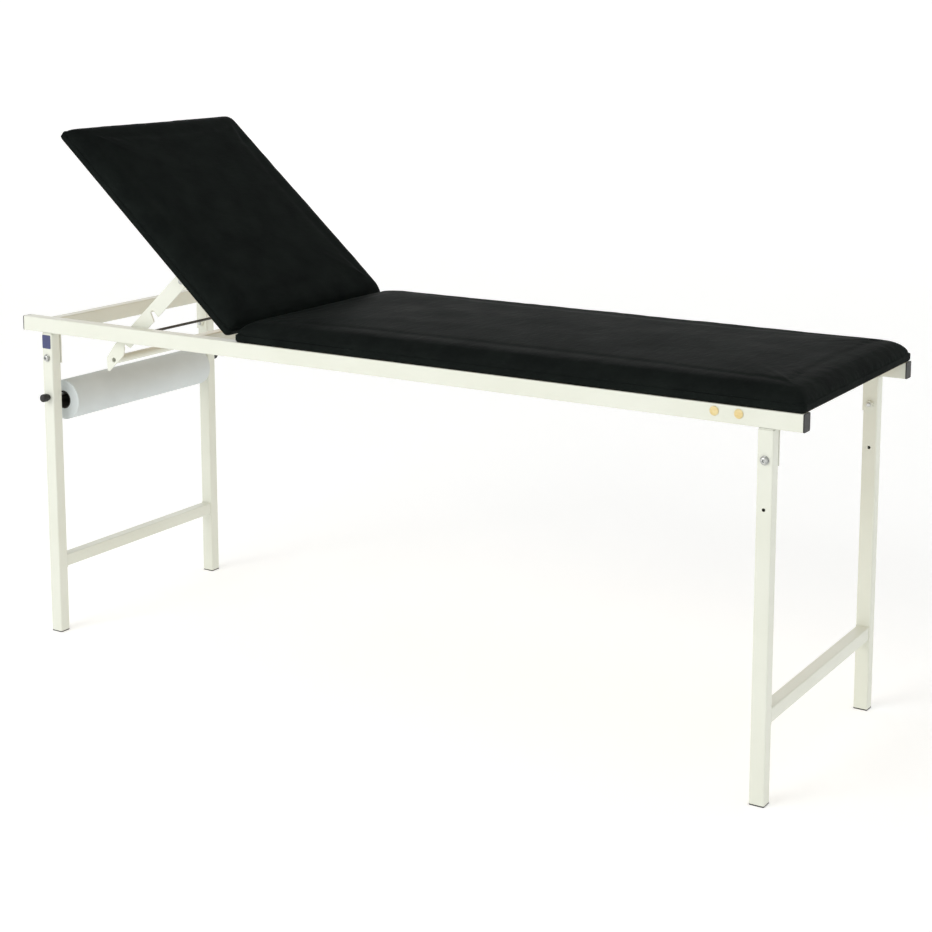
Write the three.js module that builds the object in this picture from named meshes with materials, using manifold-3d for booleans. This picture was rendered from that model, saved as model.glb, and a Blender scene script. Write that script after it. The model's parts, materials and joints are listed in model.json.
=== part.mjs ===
// Medical exam table with a two-section upholstered top, a ratchet-propped backrest,
// bolted H-frame legs and a paper roll hung under the head end.
// Millimetres. +X to the foot end, +Y to the far side, +Z up. The origin is on the floor, under the centre.
import * as THREE from 'three';
import { mergeVertices } from 'three/addons/utils/BufferGeometryUtils.js';
import Module from 'manifold-3d';

const wasm = await Module();
wasm.setup();

// ---- driving dimensions ---------------------------------------------------------------------
const GAP = 0.3;                 // between faces that touch, and round a pin in its hole
const FRAME_LENGTH = 1830;
const FRAME_WIDTH = 550;
const RAIL = { top: 716.6, height: 32.6, width: 27, wall: 1.5, radius: 2.5 };
const CAP_FLANGE = 2;            // plastic cap proud of the tube end
const PLUG_DEPTH = 18;           // how far caps and feet reach into their tubes
const HOLE_PLUG = { x: [751.5, 797.6], z: 703.7, shank: 6, head: 8.5 };

const LEG = { x: 847.5, deep: 29.3, wide: 26.4, wall: 1.5, radius: 2.5 };
const LEG_PLATE = 2;             // top plate of the bracket, between leg and rail
const PLATE_SET_BACK = 1.5;      // its edges behind the leg's faces, which leaves a dark gap line
const SIDE_PLATE = { thick: 3, bottom: 614 };
const STUB_LENGTH = 80;
const LEG_BOLT = { z: 628, radius: 4, washer: 8.5, head: 6.6, length: 40 };
const NUT = { thick: 6.5, corner: 7.5 };
const FOOT_HEIGHT = 2;           // plastic foot showing below the leg
const CROSSBAR = { z: 160.5, height: 27, deep: 26 };
const CROSS_RAIL = { deep: 26, head: -843, middle: -432, foot: 843 };

const ROLL_ROD = { z: 540, radius: 3, end: 287 };
const ROLL = { radius: 45, length: 450, core: 20, bore: 17.5, y: -4 };
const KNOB = { radius: 9, length: 20, neck: 6.5, hole: 13 };
const LABEL = { x: -848, z: 664, width: 24, height: 30, thick: 0.6 };

const BOARD_THICK = 15;
const TOP_UNDERSIDE = 716.9;
const COVER_SKIN = 2.6;
const CROWN = [[0, 18], [6, 28], [22, 38], [65, 46]];  // in from the edge, above the underside
const CORNER_RADIUS = 10;
const SEAT_HEAD = -318;
const BACK = { head: -928.8, foot: -331 };

const BACK_ANGLE = 41.1;         // backrest above level, as modelled
const HINGE = { x: -324.5, z: 733, y: 170, knuckle: 5, pin: 2.5, leaf: 2.5, reach: 50, segment: 20 };
const LEAF = { off: 3.7, screws: [[18, -16], [42, 16]] };  // clear of the axis; screws along, across
const PROP_PIVOT = { x: -504.6, z: 698.5, radius: 4, head: 7 };
const PROP_BRACKET = { ear: 12, half: 27, inner: 210, screwX: 18, screwY: 222 };
const RIVET_HEAD = 2.4;
const PROP_ANGLE = 6.2;          // prop off the square to the backrest, as modelled
const PROP = { y: 243, thick: 3, left: -16.5, right: 16, end: 300 };
const RATCHET_ROD = { x: -615, z: 697, radius: 3 };
const TIE = { side: 6.5, along: 272, radius: 9, bore: 6 };
const PLATE = 2.5;               // tabs, hinge leaves and prop brackets
const SCREW = { radius: 2.5, bottom: 711, length: 19 };
const TAB = { head: -150, foot: 650, half: 14, reach: 27 };

const railInner = FRAME_WIDTH / 2 - RAIL.width;
const railMiddleY = FRAME_WIDTH / 2 - RAIL.width / 2;
const railMiddleZ = RAIL.top - RAIL.height / 2;
const railBottom = RAIL.top - RAIL.height;
const legMiddleY = FRAME_WIDTH / 2 - LEG.wide / 2;
const legTop = railBottom - LEG_PLATE - 2 * GAP;
const legBottom = FOOT_HEIGHT + GAP;
const seatFoot = FRAME_LENGTH / 2 + GAP + CAP_FLANGE;
const topWidth = FRAME_WIDTH;
const plateTop = TOP_UNDERSIDE - GAP;
const boardInset = COVER_SKIN + 0.4;
const THROUGH = 300;             // a drill that passes right through one side of the table
const SIDES = [[-1, 'near'], [1, 'far']];
const ENDS = [[-1, 'head'], [1, 'foot']];

// ---- finishes -------------------------------------------------------------------------------
const FINISH = {
  cream_enamel: { color: 0xece9d8, roughness: 0.4, metalness: 0 },
  black_plastic: { color: 0x1c1c1c, roughness: 0.5, metalness: 0 },
  beige_plastic: { color: 0xe1cd96, roughness: 0.5, metalness: 0 },
  zinc_steel: { color: 0xb4b4b0, roughness: 0.35, metalness: 1 },
  dark_steel: { color: 0x4a4a48, roughness: 0.45, metalness: 1 },
  black_vinyl: { color: 0x262826, roughness: 0.45, metalness: 0 },
  plywood: { color: 0xc6a472, roughness: 0.8, metalness: 0 },
  foam: { color: 0xd9d3bb, roughness: 0.95, metalness: 0 },
  paper: { color: 0xe9e9e4, roughness: 0.9, metalness: 0 },
  cardboard: { color: 0x2e2a26, roughness: 0.9, metalness: 0 },
  blue_label: { color: 0x28356c, roughness: 0.4, metalness: 0 },
};

// The backrest's pieces are placed as if it lay flat, inside a group that turns about the hinge axis.
const table = new THREE.Group();
const backrestTurn = new THREE.Group();
const backrest = new THREE.Group();
const prop = new THREE.Group();
backrestTurn.position.set(HINGE.x, 0, HINGE.z);
backrestTurn.rotation.y = THREE.MathUtils.degToRad(BACK_ANGLE);
backrest.position.set(-HINGE.x, 0, -HINGE.z);
prop.position.set(PROP_PIVOT.x, 0, PROP_PIVOT.z);
prop.rotation.y = THREE.MathUtils.degToRad(PROP_ANGLE);
table.add(backrestTurn);
backrestTurn.add(backrest);
backrest.add(prop);

function add(parent, name, finish, geometry, x = 0, y = 0, z = 0) {
  const mesh = new THREE.Mesh(geometry, new THREE.MeshStandardMaterial(FINISH[finish]));
  mesh.name = name;
  mesh.position.set(x, y, z);
  parent.add(mesh);
}

// ---- joining and cutting solids ---------------------------------------------------------------
function solidOf(geometry) {
  const bare = geometry.clone();
  bare.deleteAttribute('normal');
  bare.deleteAttribute('uv');
  const merged = mergeVertices(bare, 1e-4);
  return new wasm.Manifold(new wasm.Mesh({
    numProp: 3,
    vertProperties: new Float32Array(merged.attributes.position.array),
    triVerts: new Uint32Array(merged.index.array),
  }));
}

function geometryOf(solid) {
  const mesh = solid.getMesh();
  const geometry = new THREE.BufferGeometry();
  geometry.setAttribute('position', new THREE.BufferAttribute(mesh.vertProperties, 3));
  geometry.setIndex(new THREE.BufferAttribute(mesh.triVerts, 1));
  geometry.computeVertexNormals();
  return geometry;
}

function join(...geometries) {
  return geometryOf(geometries.map(solidOf).reduce((all, one) => all.add(one)));
}

function cut(geometry, ...tools) {
  return geometryOf(tools.map(solidOf).reduce((left, tool) => left.subtract(tool), solidOf(geometry)));
}

// ---- plain shapes -----------------------------------------------------------------------------
const X = new THREE.Vector3(1, 0, 0);
const Y = new THREE.Vector3(0, 1, 0);
const Z = new THREE.Vector3(0, 0, 1);
const ALONG = { x: [Y, Z, X], y: [Z, X, Y], z: [X, Y, Z] };

function block([x0, x1], [y0, y1], [z0, z1]) {
  const box = new THREE.BoxGeometry(Math.abs(x1 - x0), Math.abs(y1 - y0), Math.abs(z1 - z0));
  return box.translate((x0 + x1) / 2, (y0 + y1) / 2, (z0 + z1) / 2);
}

function rodAlongY(radius, [y0, y1], x = 0, z = 0, segments = 16) {
  const cylinder = new THREE.CylinderGeometry(radius, radius, Math.abs(y1 - y0), segments);
  return cylinder.translate(x, (y0 + y1) / 2, z);
}

function rodAlongZ(radius, [z0, z1], x, y) {
  return rodAlongY(radius, [z0, z1], 0, 0, 8).rotateX(Math.PI / 2).translate(x, y, 0);
}

function roundedOutline(width, height, radius) {
  const shape = new THREE.Shape();
  const x = width / 2 - radius;
  const y = height / 2 - radius;
  shape.absarc(x, y, radius, 0, Math.PI / 2);
  shape.absarc(-x, y, radius, Math.PI / 2, Math.PI);
  shape.absarc(-x, -y, radius, Math.PI, 1.5 * Math.PI);
  shape.absarc(x, -y, radius, 1.5 * Math.PI, 2 * Math.PI);
  shape.closePath();
  return shape;
}

// a bar with rounded corners, centred on the origin; its two section sizes follow ALONG's order
function bar(axis, length, first, second, radius) {
  const outline = roundedOutline(first, second, radius);
  const settings = { depth: length, bevelEnabled: false, curveSegments: 1 };
  const geometry = new THREE.ExtrudeGeometry(outline, settings);
  geometry.translate(0, 0, -length / 2);
  return geometry.applyMatrix4(new THREE.Matrix4().makeBasis(...ALONG[axis]));
}

function tube(axis, length, first, second, { wall, radius }) {
  const bore = bar(axis, length + 2, first - 2 * wall, second - 2 * wall, radius - wall);
  return cut(bar(axis, length, first, second, radius), bore);
}

// turned about Y; the profile lists [radius, place along Y] and starts and ends on the axis
function turned(profile, segments = 16) {
  const points = profile.map(([radius, along]) => new THREE.Vector2(radius, along));
  return new THREE.LatheGeometry(points, segments);
}

function facing(side, geometry) {
  return side > 0 ? geometry : geometry.rotateX(Math.PI);
}

// a plate standing in the XZ plane, centred on its thickness
function plate(outline, thickness) {
  const settings = { depth: thickness, bevelEnabled: false, curveSegments: 4 };
  const geometry = new THREE.ExtrudeGeometry(outline, settings);
  geometry.translate(0, 0, -thickness / 2);
  return geometry.applyMatrix4(new THREE.Matrix4().makeBasis(X, Z, Y.clone().negate()));
}

// a solid through level rounded rectangles, each given as [inset, height]
function stacked(length, width, levels) {
  const corner = 3;
  const points = [];
  for (const [inset, height] of levels) {
    const x = length / 2 - inset - CORNER_RADIUS;
    const y = width / 2 - inset - CORNER_RADIUS;
    for (const [quarter, [sx, sy]] of [[1, 1], [-1, 1], [-1, -1], [1, -1]].entries()) {
      for (let step = 0; step <= corner; step += 1) {
        const angle = (quarter + step / corner) * Math.PI / 2;
        const across = sx * x + CORNER_RADIUS * Math.cos(angle);
        const along = sy * y + CORNER_RADIUS * Math.sin(angle);
        points.push(across, along, height);
      }
    }
  }
  const ring = 4 * (corner + 1);
  const top = (levels.length - 1) * ring;
  const faces = [];
  for (let low = 0; low < top; low += ring) {
    for (let i = 0; i < ring; i += 1) {
      const next = (i + 1) % ring;
      faces.push(low + i, low + next, low + ring + next, low + i, low + ring + next, low + ring + i);
    }
  }
  for (let i = 1; i < ring - 1; i += 1) {
    faces.push(0, i + 1, i, top, top + i, top + i + 1);
  }
  const geometry = new THREE.BufferGeometry();
  geometry.setAttribute('position', new THREE.Float32BufferAttribute(points, 3));
  geometry.setIndex(faces);
  geometry.computeVertexNormals();
  return geometry;
}

function crowned(length, base, inset) {
  const rising = CROWN.map(([from, height]) => [from + inset, height - inset]);
  return stacked(length, topWidth, [[inset, base], ...rising.filter(([, height]) => height > base)]);
}

// the holes of wood screws driven up through a plate into a board
function screwHoles(places) {
  return places.map(([x, y]) => rodAlongZ(SCREW.radius, [SCREW.bottom, SCREW.bottom + SCREW.length], x, y));
}

// ---- top frame --------------------------------------------------------------------------------
for (const [side, word] of SIDES) {
  const rail = tube('x', FRAME_LENGTH, RAIL.width, RAIL.height, RAIL);
  const outerWall = [-RAIL.width / 2 - 1, -RAIL.width / 2 + 2 * RAIL.wall];
  const plugZ = HOLE_PLUG.z - railMiddleZ;
  const plugHoles = HOLE_PLUG.x.map((x) => rodAlongY(HOLE_PLUG.shank + GAP, outerWall, x, plugZ));
  const drilled = side < 0 ? cut(rail, ...plugHoles) : rail;
  add(table, `side_rail_${word}`, 'cream_enamel', drilled, 0, side * railMiddleY, railMiddleZ);

  // plates welded to the rail, which the seat's board is screwed to
  const tabY = [side * (railInner - GAP), side * (railInner - TAB.reach)];
  for (const [, endWord] of ENDS) {
    const x = TAB[endWord];
    const tab = block([x - TAB.half, x + TAB.half], tabY, [plateTop - PLATE, plateTop]);
    const drilledTab = cut(tab, ...screwHoles([tabScrew(endWord, side)]));
    add(table, `seat_tab_${endWord}_${word}`, 'cream_enamel', drilledTab);
  }
}

function tabScrew(endWord, side) {
  return [TAB[endWord], side * (railInner - TAB.reach / 2)];
}

for (const place of ['head', 'middle', 'foot']) {
  const crossRail = tube('y', 2 * (railInner - GAP), RAIL.height, CROSS_RAIL.deep, RAIL);
  add(table, `cross_rail_${place}`, 'cream_enamel', crossRail, CROSS_RAIL[place], 0, railMiddleZ);
}

const plugProfile = [[0, -6], [HOLE_PLUG.shank, -6], [HOLE_PLUG.shank, GAP], [HOLE_PLUG.head, GAP]];
plugProfile.push([HOLE_PLUG.head, 1.2], [HOLE_PLUG.head - 1.5, 2], [0, 2.2]);
for (const [index, x] of HOLE_PLUG.x.entries()) {
  const plug = facing(-1, turned(plugProfile));
  add(table, `rail_hole_plug_${index + 1}`, 'beige_plastic', plug, x, -FRAME_WIDTH / 2, HOLE_PLUG.z);
}

// ---- legs -------------------------------------------------------------------------------------
const tubeRoom = 2 * LEG.wall + 2 * GAP;
const stub = { deep: LEG.deep - tubeRoom, wide: LEG.wide - tubeRoom };
const plateBottom = legTop + GAP;
const sidePlateY = [railInner - GAP - SIDE_PLATE.thick, railInner - GAP];
const boltProfile = [[0, GAP - LEG_BOLT.length], [LEG_BOLT.radius, GAP - LEG_BOLT.length]];
boltProfile.push([LEG_BOLT.radius, GAP], [LEG_BOLT.washer, GAP], [LEG_BOLT.washer, 1.8], [7, 1.8], [7, 4]);
boltProfile.push([5, 6], [0, LEG_BOLT.head]);

for (const [end, endWord] of ENDS) {
  for (const [side, word] of SIDES) {
    const name = `${endWord}_${word}`;
    const x = end * LEG.x;
    const y = side * legMiddleY;

    const plug = bar('x', PLUG_DEPTH + 1, RAIL.width - tubeRoom, RAIL.height - tubeRoom, 1);
    const flange = bar('x', CAP_FLANGE, RAIL.width, RAIL.height, RAIL.radius);
    const flangeX = end * (FRAME_LENGTH / 2 + GAP + CAP_FLANGE / 2);
    plug.translate(-end * (PLUG_DEPTH + 1 + CAP_FLANGE - 1) / 2, 0, 0);
    const cap = join(flange, plug);
    add(table, `rail_cap_${name}`, 'black_plastic', cap, flangeX, side * railMiddleY, railMiddleZ);

    const boltHole = rodAlongY(LEG_BOLT.radius + GAP, [-side * THROUGH, side * THROUGH], 0, LEG_BOLT.z);
    const rodHole = rodAlongY(ROLL_ROD.radius + GAP, [-side * THROUGH, side * THROUGH], 0, ROLL_ROD.z);

    const topPlateX = LEG.deep / 2 - PLATE_SET_BACK;
    const topPlateY = [side * sidePlateY[0], side * (FRAME_WIDTH / 2 - PLATE_SET_BACK)];
    const topPlate = block([-topPlateX, topPlateX], topPlateY, [plateBottom, plateBottom + LEG_PLATE]);
    const sidePlate = block([-LEG.deep / 2, LEG.deep / 2], sidePlateY.map((value) => side * value),
      [SIDE_PLATE.bottom, plateBottom + LEG_PLATE]);
    const stubTube = tube('z', STUB_LENGTH + 1, stub.deep, stub.wide, LEG);
    stubTube.translate(0, y, plateBottom + 1 - (STUB_LENGTH + 1) / 2);
    const nutY = [side * (sidePlateY[0] - NUT.thick), side * (sidePlateY[0] + 1)];
    const nut = rodAlongY(NUT.corner, nutY, 0, LEG_BOLT.z, 6);
    const bracket = cut(join(topPlate, sidePlate, stubTube, nut), boltHole);
    add(table, `leg_bracket_${name}`, 'cream_enamel', bracket, x, 0, 0);

    const leg = tube('z', legTop - legBottom, LEG.deep, LEG.wide, LEG);
    leg.translate(0, y, (legTop + legBottom) / 2);
    add(table, `leg_${name}`, 'cream_enamel', cut(leg, boltHole, rodHole), x, 0, 0);

    const tip = bar('z', FOOT_HEIGHT, LEG.deep, LEG.wide, LEG.radius);
    const tipPlug = bar('z', PLUG_DEPTH + 1, LEG.deep - tubeRoom, LEG.wide - tubeRoom, 1);
    tip.translate(0, 0, FOOT_HEIGHT / 2);
    tipPlug.translate(0, 0, FOOT_HEIGHT + (PLUG_DEPTH - 1) / 2);
    add(table, `leg_tip_${name}`, 'black_plastic', join(tip, tipPlug), x, y, 0);

    const bolt = facing(side, turned(boltProfile));
    add(table, `leg_bolt_${name}`, 'zinc_steel', bolt, x, side * FRAME_WIDTH / 2, LEG_BOLT.z);
  }
  const crossbar = tube('y', 2 * (FRAME_WIDTH / 2 - LEG.wide - GAP), CROSSBAR.height, CROSSBAR.deep, LEG);
  add(table, `leg_crossbar_${endWord}`, 'cream_enamel', crossbar, end * LEG.x, 0, CROSSBAR.z);
}

const labelY = -FRAME_WIDTH / 2 - GAP - LABEL.thick / 2;
const label = bar('y', LABEL.thick, LABEL.height, LABEL.width, 2);
add(table, 'blank_label', 'blue_label', label, LABEL.x, labelY, LABEL.z);

// ---- paper roll -------------------------------------------------------------------------------
const rollX = -LEG.x;
const rollZ = ROLL_ROD.z + ROLL_ROD.radius + GAP - ROLL.bore;
const rollRod = rodAlongY(ROLL_ROD.radius, [-ROLL_ROD.end, ROLL_ROD.end]);
add(table, 'roll_rod', 'zinc_steel', rollRod, rollX, 0, ROLL_ROD.z);

const rollEnds = [-ROLL.length / 2, ROLL.length / 2];
const boreEnds = rollEnds.map((value) => 1.1 * value);
const roll = cut(rodAlongY(ROLL.radius, rollEnds, 0, 0, 48), rodAlongY(ROLL.core + GAP, boreEnds, 0, 0, 32));
add(table, 'paper_roll', 'paper', roll, rollX, ROLL.y, rollZ);
const core = cut(rodAlongY(ROLL.core, rollEnds, 0, 0, 32), rodAlongY(ROLL.bore, boreEnds, 0, 0, 32));
add(table, 'roll_core', 'cardboard', core, rollX, ROLL.y, rollZ);

const knobBore = ROLL_ROD.radius + GAP;
const knobProfile = [[0, KNOB.hole], [knobBore, KNOB.hole], [knobBore, 0], [KNOB.neck, 0]];
knobProfile.push([KNOB.neck, 4], [KNOB.radius, 6], [KNOB.radius, KNOB.length - 2]);
knobProfile.push([KNOB.radius - 2, KNOB.length], [0, KNOB.length]);
for (const [side, word] of SIDES) {
  const knob = facing(side, turned(knobProfile));
  const knobY = side * (FRAME_WIDTH / 2 + GAP);
  add(table, `roll_knob_${word}`, 'black_plastic', knob, rollX, knobY, ROLL_ROD.z);
}

// ---- backrest hinges ----------------------------------------------------------------------------
// A leaf hangs beside its board's end and turns under it.
// toward is +1 for the seat's leaf and -1 for the backrest's.
function hingeLeaf(toward, y, segments) {
  const web = [toward * LEAF.off, toward * (LEAF.off + HINGE.leaf)];
  const half = 1.5 * HINGE.segment;
  const foot = block([web[0], web[0] + toward * HINGE.reach], [y - half, y + half],
    [plateTop - PLATE - HINGE.z, plateTop - HINGE.z]);
  const wall = block(web, [y - half, y + half], [plateTop - PLATE - HINGE.z, -HINGE.knuckle - 1]);
  const knuckles = segments.flatMap((place) => {
    const middle = y + place * HINGE.segment;
    const reach = [middle - HINGE.segment / 2 + GAP / 2, middle + HINGE.segment / 2 - GAP / 2];
    return [rodAlongY(HINGE.knuckle, reach), block(web, reach, [-HINGE.knuckle - 2, 0])];
  });
  const pinHole = rodAlongY(HINGE.pin + GAP, [y - half - 1, y + half + 1]);
  const leaf = cut(join(foot, wall, ...knuckles), pinHole).translate(HINGE.x, 0, HINGE.z);
  return cut(leaf, ...screwHoles(leafScrews(toward, y)));
}

function leafScrews(toward, y) {
  return LEAF.screws.map(([along, across]) => [HINGE.x + toward * along, y + across]);
}

const seatScrews = SIDES.flatMap(([side]) => ENDS.map(([, endWord]) => tabScrew(endWord, side)));
const backScrews = [];
for (const [side, word] of SIDES) {
  const y = side * HINGE.y;
  const pin = rodAlongY(HINGE.pin, [y - 1.5 * HINGE.segment - 1, y + 1.5 * HINGE.segment + 1]);
  add(table, `hinge_leaf_seat_${word}`, 'zinc_steel', hingeLeaf(1, y, [-1, 1]));
  add(table, `hinge_pin_${word}`, 'zinc_steel', pin, HINGE.x, 0, HINGE.z);
  add(backrest, `hinge_leaf_back_${word}`, 'zinc_steel', hingeLeaf(-1, y, [0]));
  seatScrews.push(...leafScrews(1, y));
  backScrews.push(...leafScrews(-1, y));
}

// ---- seat -----------------------------------------------------------------------------------------
// the board, foam and cover of one section, between two places along the table
function section(parent, name, head, foot, fixings) {
  const middle = (head + foot) / 2;
  const length = foot - head;
  const place = [middle, 0, TOP_UNDERSIDE];
  const pilots = screwHoles(fixings).map((hole) => hole.translate(-middle, 0, -TOP_UNDERSIDE));
  const board = stacked(length, topWidth, [[boardInset, 0], [boardInset, BOARD_THICK]]);
  const pocket = crowned(length, -1, COVER_SKIN);
  add(parent, `${name}_board`, 'plywood', cut(board, ...pilots), ...place);
  add(parent, `${name}_foam`, 'foam', crowned(length, BOARD_THICK + GAP, boardInset), ...place);
  add(parent, `${name}_cover`, 'black_vinyl', cut(crowned(length, 0, 0), pocket), ...place);
}
section(table, 'seat', SEAT_HEAD, seatFoot, seatScrews);

// ---- prop brackets on the backrest ------------------------------------------------------------------
const earOutline = new THREE.Shape();
earOutline.absarc(0, 0, PROP_BRACKET.ear, Math.PI, 2 * Math.PI);
earOutline.lineTo(PROP_BRACKET.ear, plateTop - PROP_PIVOT.z);
earOutline.lineTo(-PROP_BRACKET.ear, plateTop - PROP_PIVOT.z);
earOutline.closePath();
const armInner = PROP.y - PROP.thick / 2;
const earMiddle = armInner - GAP - PROP.thick / 2;
const rivetEnds = [earMiddle - PROP.thick / 2 - GAP - RIVET_HEAD, PROP.y + PROP.thick / 2 + GAP + RIVET_HEAD];
const { radius: pinRadius, head: pinHead } = PROP_PIVOT;
const shankEnds = [rivetEnds[0] + RIVET_HEAD, rivetEnds[1] - RIVET_HEAD];
const rivetProfile = [[0, rivetEnds[0]], [pinHead, rivetEnds[0]], [pinHead, shankEnds[0]]];
rivetProfile.push([pinRadius, shankEnds[0]], [pinRadius, shankEnds[1]], [pinHead, shankEnds[1]]);
rivetProfile.push([pinHead, rivetEnds[1] - 0.8], [pinHead - 2, rivetEnds[1]], [0, rivetEnds[1]]);

for (const [side, word] of SIDES) {
  const { half, inner, screwX, screwY } = PROP_BRACKET;
  const fixings = [-screwX, screwX].map((x) => [PROP_PIVOT.x + x, side * screwY]);
  const ear = plate(earOutline, PROP.thick).translate(PROP_PIVOT.x, side * earMiddle, PROP_PIVOT.z);
  const base = block([PROP_PIVOT.x - half, PROP_PIVOT.x + half], [side * inner, side * (armInner - GAP)],
    [plateTop - PLATE, plateTop]);
  const pinHole = rodAlongY(pinRadius + GAP, [0, side * THROUGH], PROP_PIVOT.x, PROP_PIVOT.z);
  const bracket = cut(join(ear, base), pinHole, ...screwHoles(fixings));
  add(backrest, `prop_bracket_${word}`, 'cream_enamel', bracket);
  const rivet = facing(side, turned(rivetProfile));
  add(backrest, `prop_pin_${word}`, 'zinc_steel', rivet, PROP_PIVOT.x, 0, PROP_PIVOT.z);
  backScrews.push(...fixings);
}
section(backrest, 'back', BACK.head, BACK.foot, backScrews);

// ---- ratchet prop -------------------------------------------------------------------------------------
// An arm hangs from its pivot; the outline lists [across, down]. Three gaps open in its foot-end edge:
// one over the rod when the backrest is flat, the notch that rests on the rod, and a steeper notch.
function armOutline() {
  const { left, right, end } = PROP;
  const outline = new THREE.Shape();
  const go = (across, down) => outline.lineTo(across, -down);
  const quarter = Math.PI / 2;
  const pocket = (across, down, radius) => outline.absarc(across, -down, radius, quarter, 3 * quarter, false);
  outline.absarc(0, 0, right, Math.PI, 0, true);
  go(right, 105);
  pocket(0, 110.4, 5.4);
  go(right, 121);
  go(right, 152);
  go(4, 180.6);
  pocket(5, 184.2, 3.6);
  go(right, 189.5);
  go(right, 216);
  pocket(5.5, 224.5, 4.4);
  go(right, 243);
  go(right, end);
  go(right - 4, end + 3);
  go(-10, 285);
  go(left, 248);
  outline.closePath();
  return outline;
}

for (const [side, word] of SIDES) {
  const pivotHole = rodAlongY(PROP_PIVOT.radius + GAP, [-5, 5]);
  const tieHole = rodAlongY(TIE.bore - 0.5, [-5, 5], TIE.side, -TIE.along);
  const arm = cut(plate(armOutline(), PROP.thick), pivotHole, tieHole);
  add(prop, `prop_arm_${word}`, 'cream_enamel', arm, 0, side * PROP.y, 0);
}
const tieEnds = [GAP - armInner, armInner - GAP];
const tie = cut(rodAlongY(TIE.radius, tieEnds), rodAlongY(TIE.bore, [-armInner, armInner]));
add(prop, 'prop_tie_tube', 'cream_enamel', tie, TIE.side, 0, -TIE.along);

const rodEnds = [GAP - railInner, railInner - GAP];
const ratchetRod = rodAlongY(RATCHET_ROD.radius, rodEnds);
add(table, 'ratchet_rod', 'dark_steel', ratchetRod, RATCHET_ROD.x, 0, RATCHET_ROD.z);

export default table;
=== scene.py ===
"""A medical exam table: black vinyl seat and propped backrest on a cream powder-coated tube frame."""

import json
import math
import random

import bpy
import bmesh
from mathutils import Matrix, Vector, noise


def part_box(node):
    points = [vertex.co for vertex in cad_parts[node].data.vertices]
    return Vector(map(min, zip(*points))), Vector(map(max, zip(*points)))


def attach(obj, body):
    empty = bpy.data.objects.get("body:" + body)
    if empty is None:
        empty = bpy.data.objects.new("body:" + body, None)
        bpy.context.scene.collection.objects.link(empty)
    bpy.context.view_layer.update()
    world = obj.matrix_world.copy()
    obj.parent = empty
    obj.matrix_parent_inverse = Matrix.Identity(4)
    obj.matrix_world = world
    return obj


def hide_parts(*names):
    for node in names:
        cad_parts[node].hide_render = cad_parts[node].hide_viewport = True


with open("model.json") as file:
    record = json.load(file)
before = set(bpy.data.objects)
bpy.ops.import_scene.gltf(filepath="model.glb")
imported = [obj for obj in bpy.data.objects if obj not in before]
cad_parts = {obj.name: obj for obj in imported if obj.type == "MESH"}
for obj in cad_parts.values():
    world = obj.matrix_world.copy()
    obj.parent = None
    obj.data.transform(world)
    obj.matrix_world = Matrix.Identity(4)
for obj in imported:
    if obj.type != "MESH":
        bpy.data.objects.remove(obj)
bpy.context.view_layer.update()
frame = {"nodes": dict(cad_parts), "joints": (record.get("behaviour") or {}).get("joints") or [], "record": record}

MM = 0.001
TURN = 2 * math.pi
SIDES = {"near": -1, "far": 1}
ENDS = ("head", "foot")

# ---- places, from the frame -----------------------------------------------------------------
joints = {joint["name"]: joint for joint in frame["joints"]}
HINGE = Vector(joints["backrest_tilt"]["pos_m"])
BACK_ANGLE = -math.radians(joints["backrest_tilt"]["range_deg"][0])
RAISED = (Matrix.Translation(HINGE) @ Matrix.Rotation(BACK_ANGLE, 4, "Y")
          @ Matrix.Translation(-HINGE))
LEVEL = RAISED.inverted()


def level_box(node):
    """A backrest node's lowest and highest corners, with the backrest laid level."""
    points = [LEVEL @ vertex.co for vertex in frame["nodes"][node].data.vertices]
    low = Vector([min(p[i] for p in points) for i in range(3)])
    high = Vector([max(p[i] for p in points) for i in range(3)])
    return low, high


def middle(box):
    return (box[0] + box[1]) / 2


# ---- materials ------------------------------------------------------------------------------
def srgb(value):
    """A hex colour such as 0xf2f0e2 as linear red, green, blue and alpha."""
    parts = [(value >> shift & 255) / 255 for shift in (16, 8, 0)]
    linear = [p / 12.92 if p <= 0.04045 else ((p + 0.055) / 1.055) ** 2.4 for p in parts]
    return (*linear, 1.0)


def connect(tree, node, sockets):
    """Pairs each of a node's inputs with its value, or with another node's output."""
    for name, value in dict(sockets).items():
        if isinstance(value, bpy.types.NodeSocket):
            tree.links.new(value, node.inputs[name])
        else:
            node.inputs[name].default_value = value


def add(tree, kind, sockets=(), output=0, **settings):
    """Adds a node and gives back one of its outputs."""
    made = tree.nodes.new(kind)
    for name, value in settings.items():
        setattr(made, name, value)
    connect(tree, made, sockets)
    return made.outputs[output]


def begin(name, **sockets):
    """A new material's node tree, its shader and its object coordinates."""
    material = bpy.data.materials.new(name)
    material.use_nodes = True
    tree = material.node_tree
    shader = tree.nodes["Principled BSDF"]
    for socket, value in sockets.items():
        shader.inputs[socket.replace("_", " ")].default_value = value
    place = add(tree, "ShaderNodeTexCoord", output="Object")
    return material, tree, shader, place


NOISE = "ShaderNodeTexNoise"
RANGE = "ShaderNodeMapRange"
BUMP = "ShaderNodeBump"
# the mix node's colour sockets; its float and vector ones have the same names
MIX_LOW, MIX_HIGH, MIX_COLOUR = 6, 7, 2


def mottled(tree, place, size_mm, low, high, detail=3):
    """Colour that drifts between two hex values over patches of size_mm."""
    scale = 1 / (size_mm * MM)
    cloud = add(tree, NOISE, {"Vector": place, "Scale": scale, "Detail": detail})
    share = add(tree, RANGE, {"Value": cloud, "From Min": 0.3, "From Max": 0.7})
    sockets = {"Factor": share, MIX_LOW: srgb(low), MIX_HIGH: srgb(high)}
    return add(tree, "ShaderNodeMix", sockets, MIX_COLOUR, data_type="RGBA")


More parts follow.
